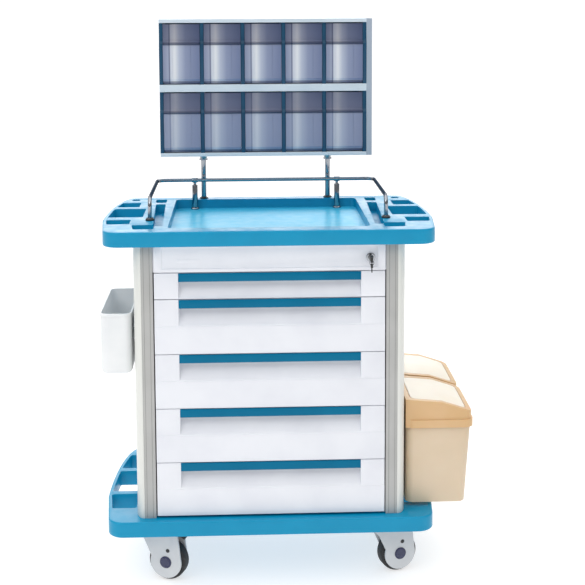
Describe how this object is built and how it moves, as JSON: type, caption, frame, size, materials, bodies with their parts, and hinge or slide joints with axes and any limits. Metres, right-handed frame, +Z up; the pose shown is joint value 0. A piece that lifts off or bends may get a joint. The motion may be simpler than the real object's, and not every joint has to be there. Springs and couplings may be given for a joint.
{
  "type": "medication cart",
  "caption": "Ward medication cart with bowed trays, a stack of pull-out drawers, a rack of tip-out bins on posts, a guard rail, side bins and swivel casters.",
  "frame": {"origin": "on the floor, below the middle of the cabinet and of both trays", "axes": "+Z up, drawers pull out towards -Y, waste bins hang on the +X side"},
  "size_m": [0.946, 0.525, 1.423],
  "materials": {
    "tray_plastic": "satin moulded",
    "cabinet_grey": "satin",
    "panel_grey": "powder coat",
    "front_plastic": "satin moulded",
    "strip_teal": "satin",
    "drawer_plastic": "moulded",
    "runner_steel": "zinc plated",
    "chrome": "polished",
    "rack_pale": "satin",
    "rack_dark": "satin",
    "bin_clear": "clear tinted",
    "utility_white": "satin",
    "bucket_beige": "moulded",
    "lid_tan": "moulded",
    "flap_cream": "moulded",
    "caster_grey": "moulded",
    "tyre": "satin",
    "black_plastic": "moulded",
    "plate_steel": "zinc plated"
  },
  "bodies": {
    "cart": {"top_tray": "tray_plastic", "base_tray": "tray_plastic", "corner_columns": "cabinet_grey", "side_panels": "panel_grey", "back_panel": "panel_grey", "lock_fascia": "front_plastic", "runner_channels": "runner_steel", "guard_rail": "chrome", "rack_posts": "chrome", "rack_bracket": "plate_steel", "rack_frame": "rack_pale", "rack_housing": "rack_dark", "side_hangers": "plate_steel", "lock_cylinder": "chrome", "caster_plates": "plate_steel"},
    "drawer_1": {"drawer_front_1": "front_plastic", "drawer_strip_1": "strip_teal", "drawer_box_1": "drawer_plastic"},
    "drawer_2": {"drawer_front_2": "front_plastic", "drawer_strip_2": "strip_teal", "drawer_box_2": "drawer_plastic"},
    "drawer_3": {"drawer_front_3": "front_plastic", "drawer_strip_3": "strip_teal", "drawer_box_3": "drawer_plastic"},
    "drawer_4": {"drawer_front_4": "front_plastic", "drawer_strip_4": "strip_teal", "drawer_box_4": "drawer_plastic"},
    "drawer_5": {"drawer_front_5": "front_plastic", "drawer_strip_5": "strip_teal", "drawer_box_5": "drawer_plastic"},
    "bin_01": {"tilt_bin_01": "bin_clear"},
    "bin_02": {"tilt_bin_02": "bin_clear"},
    "bin_03": {"tilt_bin_03": "bin_clear"},
    "bin_04": {"tilt_bin_04": "bin_clear"},
    "bin_05": {"tilt_bin_05": "bin_clear"},
    "bin_06": {"tilt_bin_06": "bin_clear"},
    "bin_07": {"tilt_bin_07": "bin_clear"},
    "bin_08": {"tilt_bin_08": "bin_clear"},
    "bin_09": {"tilt_bin_09": "bin_clear"},
    "bin_10": {"tilt_bin_10": "bin_clear"},
    "waste_front": {"waste_bucket_front": "bucket_beige", "waste_lid_front": "lid_tan"},
    "flap_front": {"waste_flap_front": "flap_cream"},
    "waste_rear": {"waste_bucket_rear": "bucket_beige", "waste_lid_rear": "lid_tan"},
    "flap_rear": {"waste_flap_rear": "flap_cream"},
    "utility": {"utility_box": "utility_white"},
    "swivel_front_left": {"caster_fork_front_left": "caster_grey"},
    "wheel_front_left": {"caster_wheel_front_left": "tyre"},
    "swivel_front_right": {"caster_fork_front_right": "caster_grey"},
    "wheel_front_right": {"caster_wheel_front_right": "tyre"},
    "swivel_rear_left": {"caster_fork_rear_left": "caster_grey"},
    "wheel_rear_left": {"caster_wheel_rear_left": "tyre"},
    "swivel_rear_right": {"caster_fork_rear_right": "caster_grey"},
    "wheel_rear_right": {"caster_wheel_rear_right": "tyre"},
    "brake_front_left": {"brake_pedal_front_left": "black_plastic"},
    "brake_rear_right": {"brake_pedal_rear_right": "black_plastic"},
    "key": {"lock_key": "black_plastic", "lock_cam": "plate_steel"},
    "spare": {"spare_key": "black_plastic"}
  },
  "joints": [
    {"name": "drawer_1_slide", "type": "slide", "parent": "cart", "child": "drawer_1", "axis": [0, -1, 0], "range_m": [0, 0.36]},
    {"name": "drawer_2_slide", "type": "slide", "parent": "cart", "child": "drawer_2", "axis": [0, -1, 0], "range_m": [0, 0.36]},
    {"name": "drawer_3_slide", "type": "slide", "parent": "cart", "child": "drawer_3", "axis": [0, -1, 0], "range_m": [0, 0.36]},
    {"name": "drawer_4_slide", "type": "slide", "parent": "cart", "child": "drawer_4", "axis": [0, -1, 0], "range_m": [0, 0.36]},
    {"name": "drawer_5_slide", "type": "slide", "parent": "cart", "child": "drawer_5", "axis": [0, -1, 0], "range_m": [0, 0.36]},
    {"name": "bin_01_tilt", "type": "hinge", "parent": "cart", "child": "bin_01", "pos_m": [-0.2263, 0.106, 1.257], "axis": [1, 0, 0], "range_deg": [0, 45]},
    {"name": "bin_02_tilt", "type": "hinge", "parent": "cart", "child": "bin_02", "pos_m": [-0.1169, 0.106, 1.257], "axis": [1, 0, 0], "range_deg": [0, 45]},
    {"name": "bin_03_tilt", "type": "hinge", "parent": "cart", "child": "bin_03", "pos_m": [-0.0075, 0.106, 1.257], "axis": [1, 0, 0], "range_deg": [0, 45]},
    {"name": "bin_04_tilt", "type": "hinge", "parent": "cart", "child": "bin_04", "pos_m": [0.1019, 0.106, 1.257], "axis": [1, 0, 0], "range_deg": [0, 45]},
    {"name": "bin_05_tilt", "type": "hinge", "parent": "cart", "child": "bin_05", "pos_m": [0.2113, 0.106, 1.257], "axis": [1, 0, 0], "range_deg": [0, 45]},
    {"name": "bin_06_tilt", "type": "hinge", "parent": "cart", "child": "bin_06", "pos_m": [-0.2263, 0.106, 1.072], "axis": [1, 0, 0], "range_deg": [0, 45]},
    {"name": "bin_07_tilt", "type": "hinge", "parent": "cart", "child": "bin_07", "pos_m": [-0.1169, 0.106, 1.072], "axis": [1, 0, 0], "range_deg": [0, 45]},
    {"name": "bin_08_tilt", "type": "hinge", "parent": "cart", "child": "bin_08", "pos_m": [-0.0075, 0.106, 1.072], "axis": [1, 0, 0], "range_deg": [0, 45]},
    {"name": "bin_09_tilt", "type": "hinge", "parent": "cart", "child": "bin_09", "pos_m": [0.1019, 0.106, 1.072], "axis": [1, 0, 0], "range_deg": [0, 45]},
    {"name": "bin_10_tilt", "type": "hinge", "parent": "cart", "child": "bin_10", "pos_m": [0.2113, 0.106, 1.072], "axis": [1, 0, 0], "range_deg": [0, 45]},
    {"name": "waste_front_lift", "type": "slide", "parent": "cart", "child": "waste_front", "axis": [0, 0, 1], "range_m": [0, 0.04]},
    {"name": "flap_front_swing", "type": "hinge", "parent": "waste_front", "child": "flap_front", "pos_m": [0.433, -0.097, 0.45043], "axis": [0, 1, 0], "range_deg": [0, 50]},
    {"name": "waste_rear_lift", "type": "slide", "parent": "cart", "child": "waste_rear", "axis": [0, 0, 1], "range_m": [0, 0.04]},
    {"name": "flap_rear_swing", "type": "hinge", "parent": "waste_rear", "child": "flap_rear", "pos_m": [0.433, 0.123, 0.45043], "axis": [0, 1, 0], "range_deg": [0, 50]},
    {"name": "utility_lift", "type": "slide", "parent": "cart", "child": "utility", "axis": [0, 0, 1], "range_m": [0, 0.04]},
    {"name": "swivel_front_left_turn", "type": "hinge", "parent": "cart", "child": "swivel_front_left", "pos_m": [-0.294, -0.172, 0.13], "axis": [0, 0, 1], "continuous": true},
    {"name": "wheel_front_left_spin", "type": "hinge", "parent": "swivel_front_left", "child": "wheel_front_left", "pos_m": [-0.26205, -0.18363, 0.05], "axis": [0.342, 0.9397, 0], "continuous": true},
    {"name": "swivel_front_right_turn", "type": "hinge", "parent": "cart", "child": "swivel_front_right", "pos_m": [0.294, -0.172, 0.13], "axis": [0, 0, 1], "continuous": true},
    {"name": "wheel_front_right_spin", "type": "hinge", "parent": "swivel_front_right", "child": "wheel_front_right", "pos_m": [0.32634, -0.16149, 0.05], "axis": [-0.309, 0.9511, 0], "continuous": true},
    {"name": "swivel_rear_left_turn", "type": "hinge", "parent": "cart", "child": "swivel_rear_left", "pos_m": [-0.294, 0.172, 0.13], "axis": [0, 0, 1], "continuous": true},
    {"name": "wheel_rear_left_spin", "type": "hinge", "parent": "swivel_rear_left", "child": "wheel_rear_left", "pos_m": [-0.26033, 0.16727, 0.05], "axis": [0.1392, 0.9903, 0], "continuous": true},
    {"name": "swivel_rear_right_turn", "type": "hinge", "parent": "cart", "child": "swivel_rear_right", "pos_m": [0.294, 0.172, 0.13], "axis": [0, 0, 1], "continuous": true},
    {"name": "wheel_rear_right_spin", "type": "hinge", "parent": "swivel_rear_right", "child": "wheel_rear_right", "pos_m": [0.32506, 0.18583, 0.05], "axis": [-0.4067, 0.9135, 0], "continuous": true},
    {"name": "brake_front_left_press", "type": "hinge", "parent": "swivel_front_left", "child": "brake_front_left", "pos_m": [-0.24514, -0.18979, 0.123], "axis": [0.342, 0.9397, 0], "range_deg": [0, 12]},
    {"name": "brake_rear_right_press", "type": "hinge", "parent": "swivel_rear_right", "child": "brake_rear_right", "pos_m": [0.3415, 0.19315, 0.123], "axis": [-0.4067, 0.9135, 0], "range_deg": [0, 12]},
    {"name": "key_turn", "type": "hinge", "parent": "cart", "child": "key", "pos_m": [0.25, -0.235, 0.841], "axis": [0, 1, 0], "range_deg": [0, 90]},
    {"name": "spare_swing", "type": "hinge", "parent": "key", "child": "spare", "pos_m": [0.25, -0.2585, 0.8365], "axis": [1, 0, 0], "range_deg": [-70, 2]}
  ]
}
